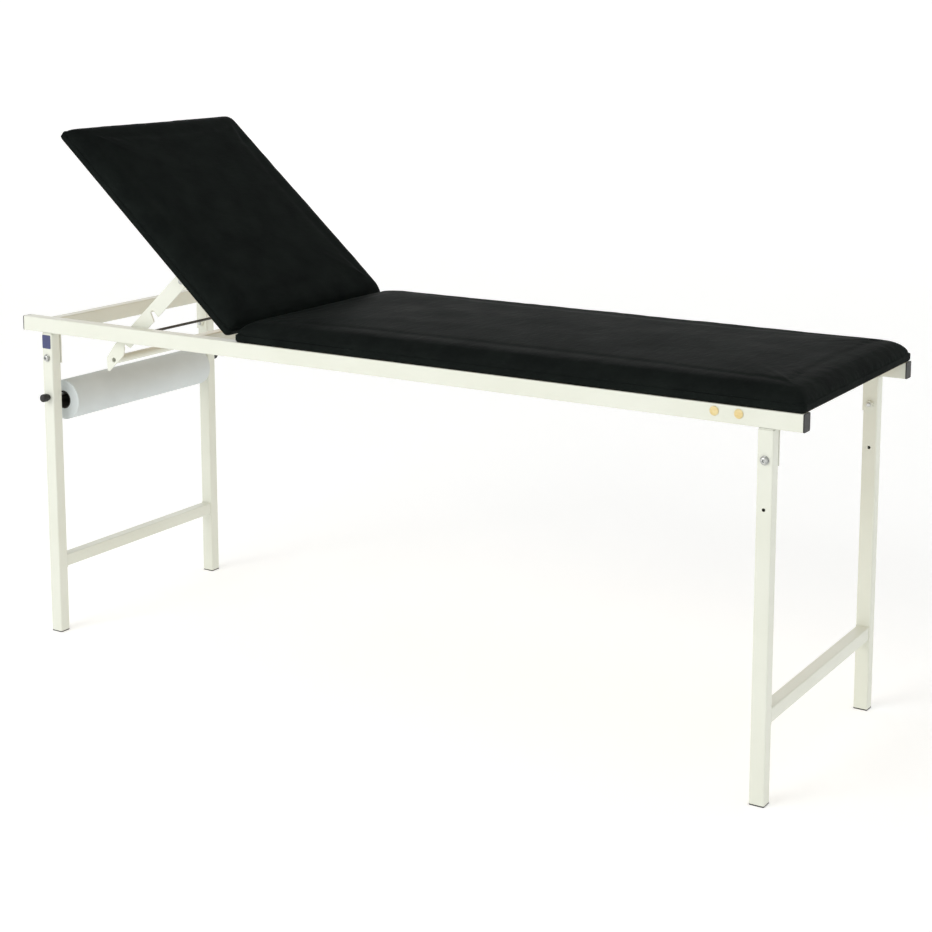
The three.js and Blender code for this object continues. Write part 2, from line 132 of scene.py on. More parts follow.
def powder_coat():
    """Cream polyester powder coat, sprayed and baked: even, semi-gloss, with a faint orange peel."""
    material, tree, shader, place = begin("powder_coat_cream", IOR=1.5, Coat_Weight=0.25, Coat_Roughness=0.2)
    # real orange peel is about 1.5 mm across; 4 mm is the finest that shows
    peel = add(tree, NOISE, {"Vector": place, "Scale": 1 / (4 * MM), "Detail": 2.0})
    connect(tree, shader, {
        "Base Color": mottled(tree, place, 180, 0xD9DBCD, 0xDEE0D4),
        "Roughness": add(tree, RANGE, {"Value": peel, "To Min": 0.3, "To Max": 0.42}),
        "Normal": add(tree, BUMP, {"Height": peel, "Distance": 0.05 * MM}),
    })
    return material


def upholstery_vinyl():
    """Black calendered PVC on a knit backing, embossed with a fine hide grain and creased by use."""
    # the level is low because a worn matt surface doesn't mirror the bright walls at low angles
    material, tree, shader, place = begin("upholstery_vinyl_black", IOR=1.42, Specular_IOR_Level=0.006)
    # pebbles of a hide grain are about 1 mm; they are drawn at 3 mm so that they show
    pebble = add(tree, "ShaderNodeTexVoronoi", {"Vector": place, "Scale": 1 / (3 * MM)}, feature="SMOOTH_F1")
    drawn = add(tree, "ShaderNodeMapping", {"Vector": place, "Scale": (1.0, 0.35, 1.0)})
    crease = add(tree, NOISE, {"Vector": drawn, "Scale": 1 / (14 * MM), "Detail": 5.0, "Distortion": 0.8})
    drift = add(tree, NOISE, {"Vector": place, "Scale": 1 / (90 * MM), "Detail": 3.0})
    grain = add(tree, BUMP, {"Height": pebble, "Distance": 0.22 * MM})
    connect(tree, shader, {
        "Base Color": mottled(tree, place, 60, 0x131615, 0x191D1B, 5),
        "Roughness": add(tree, RANGE, {"Value": drift, "To Min": 0.4, "To Max": 0.54}),
        "Normal": add(tree, BUMP, {"Height": crease, "Distance": 0.9 * MM, "Normal": grain}),
    })
    return material


def moulded_black():
    """Black polyethylene caps, feet and knobs, injection moulded with a fine matt spark texture."""
    material, tree, shader, place = begin("polyethylene_black", IOR=1.5)
    # spark erosion leaves pits of about 0.1 mm; they are drawn at 1.5 mm so that they show
    spark = add(tree, NOISE, {"Vector": place, "Scale": 1 / (1.5 * MM), "Detail": 4.0})
    connect(tree, shader, {
        "Base Color": mottled(tree, place, 25, 0x131313, 0x1E1E1D),
        "Roughness": add(tree, RANGE, {"Value": spark, "To Min": 0.45, "To Max": 0.6}),
        "Normal": add(tree, BUMP, {"Height": spark, "Distance": 0.05 * MM}),
    })
    return material


def moulded_beige():
    """Beige nylon hole plugs: slightly waxy, a little yellowed."""
    material, tree, shader, place = begin("nylon_beige", IOR=1.53, Subsurface_Weight=0.08)
    wax = add(tree, NOISE, {"Vector": place, "Scale": 1 / (3 * MM), "Detail": 2.0})
    connect(tree, shader, {
        "Base Color": mottled(tree, place, 8, 0xD9BE7E, 0xE6D09A),
        "Roughness": add(tree, RANGE, {"Value": wax, "To Min": 0.4, "To Max": 0.55}),
        "Normal": add(tree, BUMP, {"Height": wax, "Distance": 0.05 * MM}),
    })
    return material


def plated_zinc():
    """Bright zinc plate on steel: clear metal with a cloudy chromate bloom and fine handling marks."""
    material, tree, shader, place = begin("zinc_plate", Metallic=1.0)
    marks = add(tree, NOISE, {"Vector": place, "Scale": 1 / (2 * MM), "Detail": 6.0})
    connect(tree, shader, {
        "Base Color": mottled(tree, place, 7, 0xA9ABAB, 0xCBCCC8),
        "Roughness": add(tree, RANGE, {"Value": marks, "To Min": 0.24, "To Max": 0.44}),
        "Normal": add(tree, BUMP, {"Height": marks, "Distance": 0.03 * MM}),
    })
    return material


def blackened_steel():
    """Drawn steel bar, oil blackened: die lines along its length show bare metal faintly."""
    material, tree, shader, place = begin("steel_blackened", Metallic=1.0)
    drawn = add(tree, "ShaderNodeMapping", {"Vector": place, "Scale": (1.0, 0.02, 1.0)})
    # die lines are about 0.1 mm apart; they are drawn at 1.2 mm so that they show
    lines = add(tree, NOISE, {"Vector": drawn, "Scale": 1 / (1.2 * MM), "Detail": 3.0})
    connect(tree, shader, {
        "Base Color": mottled(tree, drawn, 3, 0x3A3936, 0x5C5A55),
        "Roughness": add(tree, RANGE, {"Value": lines, "To Min": 0.35, "To Max": 0.5}),
        "Normal": add(tree, BUMP, {"Height": lines, "Distance": 0.04 * MM}),
    })
    return material


def birch_plywood():
    """Rotary-cut birch plywood, left bare: a long wavy figure in pale brown."""
    material, tree, shader, place = begin("plywood_birch", IOR=1.5)
    drawn = add(tree, "ShaderNodeMapping", {"Vector": place, "Scale": (0.12, 1.0, 1.0)})
    figure = add(tree, NOISE, {"Vector": drawn, "Scale": 1 / (9 * MM), "Detail": 7.0, "Distortion": 1.2})
    connect(tree, shader, {
        "Base Color": mottled(tree, drawn, 14, 0xB58F5C, 0xD8BB8A, 6),
        "Roughness": add(tree, RANGE, {"Value": figure, "To Min": 0.62, "To Max": 0.82}),
        "Normal": add(tree, BUMP, {"Height": figure, "Distance": 0.15 * MM}),
    })
    return material


def cut_foam():
    """Open-cell polyurethane foam, sawn from a block: cream, soft and pitted."""
    material, tree, shader, place = begin("foam_polyurethane", IOR=1.4)
    # the cells are under 1 mm; they are drawn at 2 mm so that they show
    cells = add(tree, "ShaderNodeTexVoronoi", {"Vector": place, "Scale": 1 / (2 * MM)})
    connect(tree, shader, {
        "Base Color": mottled(tree, place, 30, 0xCFC6A4, 0xDDD6BC),
        "Roughness": add(tree, RANGE, {"Value": cells, "To Min": 0.88, "To Max": 1.0}),
        "Normal": add(tree, BUMP, {"Height": cells, "Distance": 0.6 * MM}),
    })
    return material


def couch_paper():
    """White creped couch paper: soft and matt, with fine ridges across the web."""
    material, tree, shader, place = begin("paper_crepe", IOR=1.45)
    drawn = add(tree, "ShaderNodeMapping", {"Vector": place, "Scale": (1.0, 0.15, 1.0)})
    # crepe ridges are about 1 mm apart; they are drawn at 3 mm so that they show
    crepe = add(tree, NOISE, {"Vector": drawn, "Scale": 1 / (3 * MM), "Detail": 4.0})
    connect(tree, shader, {
        "Base Color": mottled(tree, place, 90, 0xC8CECE, 0xD0D6D6),
        "Roughness": add(tree, RANGE, {"Value": crepe, "To Min": 0.85, "To Max": 0.98}),
        "Normal": add(tree, BUMP, {"Height": crepe, "Distance": 0.12 * MM}),
    })
    return material


def wound_board():
    """Dark grey cardboard, wound into a tube: fibrous and matt."""
    material, tree, shader, place = begin("cardboard_core", IOR=1.45)
    fibres = add(tree, NOISE, {"Vector": place, "Scale": 1 / (2.5 * MM), "Detail": 6.0})
    connect(tree, shader, {
        "Base Color": mottled(tree, place, 12, 0x24211E, 0x37322D),
        "Roughness": add(tree, RANGE, {"Value": fibres, "To Min": 0.8, "To Max": 0.95}),
        "Normal": add(tree, BUMP, {"Height": fibres, "Distance": 0.15 * MM}),
    })
    return material


def printed_film():
    """Navy printed polyester film with no lettering: smooth, lightly rippled over its adhesive."""
    material, tree, shader, place = begin("film_navy", IOR=1.6, Coat_Weight=0.4)
    ripple = add(tree, NOISE, {"Vector": place, "Scale": 1 / (10 * MM), "Detail": 1.0})
    connect(tree, shader, {
        "Base Color": mottled(tree, place, 15, 0x1E2758, 0x26306A),
        "Roughness": add(tree, RANGE, {"Value": ripple, "To Min": 0.25, "To Max": 0.35}),
        "Normal": add(tree, BUMP, {"Height": ripple, "Distance": 0.08 * MM}),
    })
    return material


FINISH = {
    "cream_enamel": powder_coat(), "black_vinyl": upholstery_vinyl(), "black_plastic": moulded_black(),
    "beige_plastic": moulded_beige(), "zinc_steel": plated_zinc(), "dark_steel": blackened_steel(),
    "plywood": birch_plywood(), "foam": cut_foam(), "paper": couch_paper(),
    "cardboard": wound_board(), "blue_label": printed_film(),
}


# ---- pieces ---------------------------------------------------------------------------------
def piece(name, mesh, finish, body, *nodes):
    """A finished piece that moves with body and stands for the named CAD nodes."""
    made = bpy.data.objects.new(name, mesh)
    bpy.context.scene.collection.objects.link(made)
    made.data.materials.append(FINISH[finish])
    for polygon in made.data.polygons:
        polygon.use_smooth = True
    made.data.set_sharp_from_angle(angle=math.radians(35))
    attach(made, body)
    if nodes:
        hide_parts(*nodes)
    return made


def ringed(name, rings, segments=64, closed=False):
    """A mesh through rings about the Y axis. A ring is (radius, along), its radius a number or a
    function of the angle. A closed one joins its last ring to its first; else its ends are capped."""
    form = bmesh.new()
    loops = []
    for radius, along in rings:
        loop = []
        for step in range(segments):
            angle = TURN * step / segments
            r = radius(angle) if callable(radius) else radius
            loop.append(form.verts.new((r * math.sin(angle), along, r * math.cos(angle))))
        loops.append(loop)
    pairs = list(zip(loops, loops[1:]))
    if closed:
        pairs.append((loops[-1], loops[0]))
    for one, two in pairs:
        for step in range(segments):
            after = (step + 1) % segments
            form.faces.new((one[step], two[step], two[after], one[after]))
    if not closed:
        form.faces.new(loops[0])
        form.faces.new(loops[-1])
    bmesh.ops.recalc_face_normals(form, faces=form.faces)
    mesh = bpy.data.meshes.new(name)
    form.to_mesh(mesh)
    form.free()
    return mesh


def placed(mesh, at, side=1, matrix=Matrix.Identity(4)):
    """Moves a mesh made about Y to its place; side -1 points it the other way."""
    if side < 0:
        mesh.transform(Matrix.Rotation(math.pi, 4, "X"))
    mesh.transform(matrix @ Matrix.Translation(at))
    return mesh


def mm_rings(rings):
    scaled = []
    for radius, along in rings:
        if callable(radius):
            scaled.append((lambda angle, wide=radius: wide(angle) * MM, along * MM))
        else:
            scaled.append((radius * MM, along * MM))
    return scaled


def hexagon(across_flats):
    """The radius of a hexagon at each angle."""
    return lambda angle: across_flats / 2 / math.cos((angle % (TURN / 6)) - TURN / 12)


def cross_recess(reach, slot):
    """The radius of a rounded cross at each angle."""
    return lambda angle: slot + (reach - slot) * abs(math.cos(2 * angle)) ** 6


# ---- frame: the CAD tubes with broken edges ---------------------------------------------------
EDGE_BREAK = {"cream_enamel": 0.7, "black_plastic": 0.6, "zinc_steel": 0.3, "plywood": 0.8}


def dress_frame():
    """Gives every CAD node its finish, and rounds the sharp edges of the rigid ones."""
    slots = {part["node"]: part["material_slot"] for part in frame["record"]["subparts"]}
    for name, node in frame["nodes"].items():
        finish = slots[name]
        node.data.materials.clear()
        node.data.materials.append(FINISH[finish])
        if finish in EDGE_BREAK:
            bevel = node.modifiers.new("edge", "BEVEL")
            bevel.width = EDGE_BREAK[finish] * MM
            bevel.segments = 3
            bevel.limit_method = "ANGLE"
            bevel.angle_limit = math.radians(25)
            bevel.harden_normals = True


WELD_RADIUS = 1.7
RIPPLE_STEP = 1.2


def weld(name, corners):
    """A rippled bead of weld along the corners of a joint, under its coat of paint."""
    line = bpy.data.curves.new(name, "CURVE")
    line.dimensions = "3D"
    line.bevel_depth = WELD_RADIUS * MM
    line.bevel_resolution = 3
    spline = line.splines.new("POLY")
    points = []
    for start, end in zip(corners, corners[1:]):
        steps = max(2, round((end - start).length / (RIPPLE_STEP * MM)))
        points += [start.lerp(end, step / steps) for step in range(steps)]
    points.append(corners[-1])
    spline.points.add(len(points) - 1)
    for index, (point, place) in enumerate(zip(spline.points, points)):
        point.co = (*place, 1)
        point.radius = 0.85 + 0.2 * math.sin(index * 1.9)
    drawn = bpy.data.objects.new(name, line)
    bpy.context.scene.collection.objects.link(drawn)
    mesh = bpy.data.meshes.new_from_object(drawn)
    bpy.data.objects.remove(drawn)
    mesh.materials.clear()
    piece(name, mesh, "cream_enamel", "frame")


def add_welds():
    for place in ("head", "middle", "foot"):
        low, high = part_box(f"cross_rail_{place}")
        top = high.z - 2 * MM
        for word, side in SIDES.items():
            y = high.y if side > 0 else low.y
            corners = [(low.x, y, top), (low.x, y, low.z), (high.x, y, low.z), (high.x, y, top)]
            weld(f"weld_cross_rail_{place}_{word}", [Vector(c) for c in corners])
    for end in ENDS:
        low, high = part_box(f"leg_crossbar_{end}")
        for word, side in SIDES.items():
            y = high.y if side > 0 else low.y
            corners = [(low.x, y, high.z), (low.x, y, low.z), (high.x, y, low.z), (high.x, y, high.z)]
            corners.append(corners[0])
            weld(f"weld_crossbar_{end}_{word}", [Vector(c) for c in corners])


# ---- fasteners --------------------------------------------------------------------------------
BOLT_HEAD = 6.6         # height of its washer and head


def bolt_mesh(name, length):
    """A washer, a domed socket head and a threaded shank; its head stands out along +Y."""
    rings = [(3.3, -length)]
    along = -length + 0.5
    while along < -length + 12:
        rings += [(4.0, along), (3.45, along + 0.5)]
        along += 1.0
    rings += [(4.0, along), (4.0, 0.3), (8.2, 0.3), (8.5, 0.6), (8.5, 1.5), (8.2, 1.8), (6.9, 1.8)]
    rings += [(7.0, 2.2), (7.0, 4.0), (6.4, 5.2), (5.2, 6.1), (3.9, 6.5)]
    rings += [(hexagon(5), 6.5), (hexagon(4.8), 3.6), (0.4, 3.2)]
    return ringed(name, mm_rings(rings), 48)


def add_leg_bolts():
    for end in ENDS:
        for word, side in SIDES.items():
            node = f"leg_bolt_{end}_{word}"
            low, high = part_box(node)
            at = middle((low, high))
            at.y = side * abs(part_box(f"leg_{end}_{word}")[0 if side < 0 else 1].y)
            length = (high.y - low.y) / MM - BOLT_HEAD
            mesh = placed(bolt_mesh(node, length), at, side)
            piece(f"bolt_{end}_{word}", mesh, "zinc_steel", "frame", node)


SCREW_HEAD = {"top": 713.8, "bottom": 711.1}


def add_screw(name, x, y, body, matrix=Matrix.Identity(4)):
    """A pan-head wood screw driven up through a plate into a board."""
    height = SCREW_HEAD["top"] - SCREW_HEAD["bottom"]
    rings = [(0.3, 0.7), (cross_recess(2.6, 0.7), 0.9), (cross_recess(2.8, 0.8), 0.1), (3.4, 0.0)]
    rings += [(4.5, 0.5), (5.0, 1.5), (5.0, height), (2.2, height), (2.2, height + 9), (0.4, height + 12)]
    mesh = ringed(name, mm_rings(rings), 32)
    mesh.transform(Matrix.Rotation(math.pi / 2, 4, "X"))
    at = Vector((x, y, SCREW_HEAD["bottom"] * MM))
    piece(name, placed(mesh, at, 1, matrix), "zinc_steel", body)


# along from the hinge axis or the prop's pivot, and across the table
LEAF_SCREWS = ((18, -16), (42, 16))
BRACKET_SCREWS = ((-18, 222), (18, 222))


def add_screws():
    for word, side in SIDES.items():
        for end in ENDS:
            tab = middle(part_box(f"seat_tab_{end}_{word}"))
            add_screw(f"seat_screw_{end}_{word}", tab.x, tab.y, "frame")
        hinge_y = middle(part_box(f"hinge_pin_{word}")).y
        pivot_x = middle(level_box(f"prop_pin_{word}")).x
        for index, (along, across) in enumerate(LEAF_SCREWS, 1):
            y = hinge_y + across * MM
            add_screw(f"leaf_screw_seat_{word}_{index}", HINGE.x + along * MM, y, "frame")
            add_screw(f"leaf_screw_back_{word}_{index}", HINGE.x - along * MM, y, "backrest", RAISED)
        for index, (along, across) in enumerate(BRACKET_SCREWS, 1):
            x, y = pivot_x + along * MM, side * across * MM
            add_screw(f"bracket_screw_{word}_{index}", x, y, "backrest", RAISED)


def add_hole_plugs():
    rings = [(0.5, -6), (5.2, -6), (6.0, -5.2), (6.0, 0.3), (8.2, 0.3), (8.5, 0.6), (8.5, 1.2)]
    rings += [(7.4, 1.9), (5, 2.15), (0.4, 2.2)]
    for index in (1, 2):
        node = f"rail_hole_plug_{index}"
        at = middle(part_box(node))
        at.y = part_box("side_rail_near")[0].y
        mesh = placed(ringed(node, mm_rings(rings), 48), at, -1)
        piece(f"hole_plug_{index}", mesh, "beige_plastic", "frame", node)


# ---- paper roll -------------------------------------------------------------------------------
WRAPS = 16
CORE_WALL = 2.5


def add_roll():
    """The roll's outer wrap ends in a lip, and its wound ends are slightly uneven."""
    low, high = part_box("paper_roll")
    at = middle((low, high))
    outer = (high.z - low.z) / 2 / MM
    half = (high.y - low.y) / 2 / MM
    core = (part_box("roll_core")[1].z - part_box("roll_core")[0].z) / 2 / MM
    draw = random.Random(4)
    ends = {-1: [], 1: []}
    for side in ends:
        for wrap in range(WRAPS + 1):
            radius = core + 0.3 + (outer - core - 1.2) * wrap / WRAPS
            ends[side].append((radius, side * (half - draw.uniform(0, 0.9))))
    wrap_lip = lambda angle: outer - 0.9 * (angle / TURN)
    lip = [(wrap_lip, along) for along in (-half + 0.8, -half / 3, half / 3, half - 0.8)]
    rings = ends[-1] + lip + ends[1][::-1]
    mesh = ringed("paper_roll", mm_rings(rings), 160, closed=True)
    piece("paper_wound", placed(mesh, at), "paper", "paper_roll", "paper_roll")
    bore = core - CORE_WALL
    rings = [(core, -half), (core, half), (core - 0.4, half + 0.2), (bore, half), (bore, -half)]
    rings.append((core - 0.4, -half - 0.2))
    mesh = ringed("roll_core", mm_rings(rings), 96, closed=True)
    piece("core_tube", placed(mesh, at), "cardboard", "paper_roll", "roll_core")


def smooth_rod(name, node, finish, body):
    """A round bar along Y with chamfered ends, as long and thick as its node."""
    low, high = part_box(node)
    radius = (high.z - low.z) / 2 / MM
    half = (high.y - low.y) / 2 / MM
    rings = [(radius - 0.8, -half), (radius, -half + 0.8), (radius, half - 0.8), (radius - 0.8, half)]
    piece(name, placed(ringed(name, mm_rings(rings), 40), middle((low, high))), finish, body, node)


def add_knobs():
    """A fluted knob pushed on each end of the roll's rod."""
    fluted = lambda angle: 8.7 + 0.3 * math.cos(12 * angle)
    rings = [(3.3, 13), (3.3, 0.2), (6.2, 0), (6.5, 0.4), (6.5, 4), (8.2, 5.2), (fluted, 6.6), (fluted, 16.5)]
    rings += [(8.0, 18.6), (6.6, 19.6), (4.0, 20), (0.4, 20)]
    for word, side in SIDES.items():
        node = f"roll_knob_{word}"
        at = middle(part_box(node))
        at.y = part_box(node)[0 if side > 0 else 1].y
        mesh = placed(ringed(node, mm_rings(rings), 72), at, side)
        piece(f"knob_{word}", mesh, "black_plastic", f"knob_{word}", node)


# ---- ratchet prop -----------------------------------------------------------------------------
RIVET_HEAD = 2.4


def add_prop_rounds():
    """The tie tube between the two arms, and the rivet that each arm hangs from."""
    low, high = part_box("prop_tie_tube")
    half = (high.y - low.y) / 2 / MM
    rings = [(9, -half), (9, half), (6.4, half), (6.0, half - 1), (6.0, -half + 1), (6.4, -half)]
    mesh = placed(ringed("prop_tie_tube", mm_rings(rings), 56, closed=True), middle((low, high)))
    piece("tie_tube", mesh, "cream_enamel", "prop", "prop_tie_tube")
    for word, side in SIDES.items():
        node = f"prop_pin_{word}"
        low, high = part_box(node)
        length = (high.y - low.y) / MM
        rings = [(0.4, 0), (6.2, 0), (7, 0.7), (7, RIVET_HEAD), (4, RIVET_HEAD)]
        rings += [(4, length - RIVET_HEAD), (7, length - RIVET_HEAD)]
        rings += [(7, length - 1.6), (6, length - 0.7), (4, length - 0.1), (0.4, length)]
        at = middle((low, high))
        at.y = low.y if side > 0 else high.y
        mesh = placed(ringed(node, mm_rings(rings), 40), at, side)
        piece(f"rivet_{word}", mesh, "zinc_steel", "backrest", node)


# ---- upholstery -------------------------------------------------------------------------------
# All in mm. The crown rises from its foot to its top over its reach in from the edge, steeply at first.
# A profile lists how far in from the edge and how far up from the underside.
CROWN = {"reach": 90, "foot": 18, "top": 43.5, "round": 6.5, "levels": 12}
FOAM_PROFILE = ((9, 15.5), (9, 20), (14, 27), (30, 33), (70, 37))
BAND = 15
CROWN_CURVE = [(level / CROWN["levels"]) ** 1.6 for level in range(1, CROWN["levels"] + 1)]
PAD_PROFILE = [(0.6, 0), (0, 2), (0, BAND), (0.5, CROWN["foot"])]
PAD_PROFILE += [(CROWN["reach"] * share, CROWN["foot"] + (CROWN["top"] - CROWN["foot"])
                 * (1 - (1 - share) ** CROWN["round"])) for share in CROWN_CURVE]
VOXEL = 6
SWELL_LIMIT = 4         # how far the foam may push the vinyl out
SINK_LIMIT = 0.8        # and how far it may draw in
PRESSURE = 4
SETTLING_STEPS = 20
CORNER = 10
HEM = 24                # width of vinyl turned under the board
HEM_DROP = 0.15         # how far the vinyl lies below the board
PROUD = 0.6             # how far it stands out round the board's edge
UNDER = {"height": 4, "inset": 2.5}     # what counts as the pad's underside
BAND_ROOM = 0.6         # the band's tight part ends this far above the board
EDGE_LIFT = 0.8         # keeps the band's lower edge off the frame

GROOVE = {"depth": 1.3, "above": 2.5, "width": 1.8}     # where the crown meets the band
GATHER = {"depth": 0.5, "above": 4, "width": 7}         # small upright folds round the groove
RIPPLE = {"depth": 0.6, "inset": 20, "width": 30}       # along the crown's edges
DRIFT = 0.7                                             # slow unevenness over the whole crown
PLEAT = {"depth": 0.7, "reach": 60, "peak": 14, "width": 24, "count": 9}    # fanned from each corner


def pad_form(name, low, high, profile):
    """A stack of rounded rectangles, closed above and below."""
    form = bmesh.new()
    centre = (low + high) / 2
    loops = []
    quarter = 6
    for inset, height in profile:
        corner = CORNER + inset * 0.5
        x = (high.x - low.x) / 2 - (inset + corner) * MM
        y = (high.y - low.y) / 2 - (inset + corner) * MM
        loop = []
        for turn, (sx, sy) in enumerate(((1, 1), (-1, 1), (-1, -1), (1, -1))):
            for step in range(quarter + 1):
                angle = (turn + step / quarter) * math.pi / 2
                spot = (sx * x + corner * MM * math.cos(angle), sy * y + corner * MM * math.sin(angle))
                loop.append(form.verts.new((centre.x + spot[0], centre.y + spot[1], low.z + height * MM)))
        loops.append(loop)
    for one, two in zip(loops, loops[1:]):
        for i in range(len(one)):
            j = (i + 1) % len(one)
            form.faces.new((one[i], one[j], two[j], two[i]))
    form.faces.new(loops[0][::-1])
    form.faces.new(loops[-1])
    mesh = bpy.data.meshes.new(name)
    form.to_mesh(mesh)
    form.free()
    return mesh


def select_only(thing):
    bpy.ops.object.select_all(action="DESELECT")
    thing.select_set(True)
    bpy.context.view_layer.objects.active = thing


def remeshed(thing):
    modifier = thing.modifiers.new("voxels", "REMESH")
    modifier.mode = "VOXEL"
    modifier.voxel_size = VOXEL * MM
    select_only(thing)
    bpy.ops.object.modifier_apply(modifier="voxels")


def swollen(thing, low):
    """The vinyl is held at the board's band and underside, and the foam pushes the rest out."""
    rest = [vertex.co.copy() for vertex in thing.data.vertices]
    outward = [vertex.normal.copy() for vertex in thing.data.vertices]
    held = thing.vertex_groups.new(name="held")
    held.add([i for i, co in enumerate(rest) if co.z < low.z + (BAND + 1) * MM], 1.0, "REPLACE")
    cloth = thing.modifiers.new("cloth", "CLOTH")
    settings = cloth.settings
    settings.vertex_group_mass = "held"
    settings.use_pressure = True
    settings.uniform_pressure_force = PRESSURE
    settings.effector_weights.gravity = 0
    settings.quality = 4
    cloth.collision_settings.use_collision = False
    for step in range(1, SETTLING_STEPS + 1):
        bpy.context.scene.frame_set(step)
    select_only(thing)
    bpy.ops.object.modifier_apply(modifier="cloth")
    for vertex, before, normal in zip(thing.data.vertices, rest, outward):
        moved = vertex.co - before
        out = moved.dot(normal)
        # eases up to its limit, because a sudden stop would leave a ridge in the vinyl
        limit = (SWELL_LIMIT if out > 0 else SINK_LIMIT) * MM
        moved += normal * (limit * math.tanh(out / limit) - out)
        vertex.co = before + moved * min(1, SWELL_LIMIT * MM / max(moved.length, MM))
    bpy.context.scene.frame_set(1)


def fine(thing):
    modifier = thing.modifiers.new("fine", "SUBSURF")
    modifier.levels = 1
    modifier.render_levels = 1
    select_only(thing)
    bpy.ops.object.modifier_apply(modifier="fine")


def bell(value, peak, width):
    """1 at the peak, falling away to nothing on both sides."""
    return math.exp(-((value - peak) / width) ** 2)


def sewn(thing, low, high, seed):
    """Pulls the vinyl in where the band meets the crown, pleats the corners and ripples the edges.
    Lengths are in mm. The seed sets each pad's own ripples."""
    corners = [Vector((x, y)) for x in (low.x, high.x) for y in (low.y, high.y)]
    offset = Vector((seed, seed / 3, 0))
    normals = [vertex.normal.copy() for vertex in thing.data.vertices]
    for vertex, normal in zip(thing.data.vertices, normals):
        co = vertex.co
        height = (co.z - low.z) / MM
        edge = min(co.x - low.x, high.x - co.x, co.y - low.y, high.y - co.y) / MM
        push = 0.0
        if abs(normal.z) < 0.85:
            push -= GROOVE["depth"] * bell(height - BAND, GROOVE["above"], GROOVE["width"])
            gathers = noise.noise(Vector((co.x * 120, co.y * 120, co.z * 12)) + offset)
            push += GATHER["depth"] * gathers * bell(height - BAND, GATHER["above"], GATHER["width"])
        if height > BAND:
            near_edge = bell(edge, RIPPLE["inset"], RIPPLE["width"])
            spot = Vector((co.x * 38, co.y * 38, co.z * 20)) + offset
            push += RIPPLE["depth"] * near_edge * noise.noise(spot)
            push += DRIFT * noise.noise(co * 9 + offset)
        for corner in corners:
            away = (Vector((co.x, co.y)) - corner)
            distance = away.length / MM
            if distance < PLEAT["reach"] and height > BAND + 1:
                inward = Vector((1 if corner.x < co.x else -1, 1 if corner.y < co.y else -1)).normalized()
                bearing = math.atan2(away.cross(inward), away.dot(inward)) if distance > 1 else 0
                fade = bell(distance, PLEAT["peak"], PLEAT["width"])
                push -= PLEAT["depth"] * fade * max(0.0, math.cos(bearing * PLEAT["count"])) ** 3
        vertex.co = co + normal * push * MM


def from_outline(co, low, high):
    """How far a point is inside the pad's rounded outline, and the way out, both level."""
    centre = (low + high) / 2
    reach = (high - low) / 2 - Vector((CORNER, CORNER, 0)) * MM
    x, y = co.x - centre.x, co.y - centre.y
    past = Vector((max(abs(x) - reach.x, 0), max(abs(y) - reach.y, 0)))
    if past.x > 0 and past.y > 0:
        way = Vector((math.copysign(past.x, x), math.copysign(past.y, y))).normalized()
        return CORNER * MM - past.length, way
    if reach.x - abs(x) < reach.y - abs(y):
        return reach.x + CORNER * MM - abs(x), Vector((math.copysign(1, x), 0))
    return reach.y + CORNER * MM - abs(y), Vector((0, math.copysign(1, y)))


def hemmed(thing, low, high):
    """Draws the vinyl tight round the board's edge and opens it under the board, inside the hem."""
    form = bmesh.new()
    form.from_mesh(thing.data)
    form.normal_update()
    for vert in form.verts:
        height = (vert.co.z - low.z) / MM
        inside, way = from_outline(vert.co, low, high)
        if height < UNDER["height"] and inside > UNDER["inset"] * MM:
            vert.co.z = low.z - HEM_DROP * MM
        elif height < BAND + BAND_ROOM:
            step = way * (inside + PROUD * MM)
            vert.co.x += step.x
            vert.co.y += step.y
            vert.co.z = max(vert.co.z, low.z + EDGE_LIFT * MM)
    below = [face for face in form.faces if all(v.co.z < low.z for v in face.verts)]
    inner = [f for f in below if all(from_outline(v.co, low, high)[0] > HEM * MM for v in f.verts)]
    bmesh.ops.delete(form, geom=inner, context="FACES")
    form.to_mesh(thing.data)
    form.free()


def add_foam(name, node, body, box, matrix):
    """The foam block under the vinyl, sawn with eased edges."""
    low, high = box
    thing = bpy.data.objects.new(name, pad_form(name, low, high, FOAM_PROFILE))
    bpy.context.scene.collection.objects.link(thing)
    remeshed(thing)
    mesh = thing.data.copy()
    bpy.data.objects.remove(thing)
    mesh.name = name
    mesh.transform(matrix)
    piece(name, mesh, "foam", body, node)


def add_pad(name, node, body, box, matrix, seed):
    low, high = box
    thing = bpy.data.objects.new(name, pad_form(name, low, high, PAD_PROFILE))
    bpy.context.scene.collection.objects.link(thing)
    remeshed(thing)
    swollen(thing, low)
    fine(thing)
    sewn(thing, low, high, seed)
    hemmed(thing, low, high)
    mesh = thing.data.copy()
    bpy.data.objects.remove(thing)
    mesh.name = name
    mesh.transform(matrix)
    made = piece(name, mesh, "black_vinyl", body, node)


# ---- stage ------------------------------------------------------------------------------------
CAMERA = {"at": (2.0297, -3.1192, 1.4101), "yaw": 0.561, "pitch": 0.153, "focal": 70.31, "shift": -0.2}


def add_camera():
    lens = bpy.data.cameras.new("camera")
    lens.lens = CAMERA["focal"]
    lens.sensor_width = 36
    lens.shift_y = CAMERA["shift"]
    camera = bpy.data.objects.new("camera", lens)
    camera.location = CAMERA["at"]
    camera.rotation_euler = (math.pi / 2 - CAMERA["pitch"], 0, CAMERA["yaw"])
    bpy.context.scene.collection.objects.link(camera)
    bpy.context.scene.camera = camera


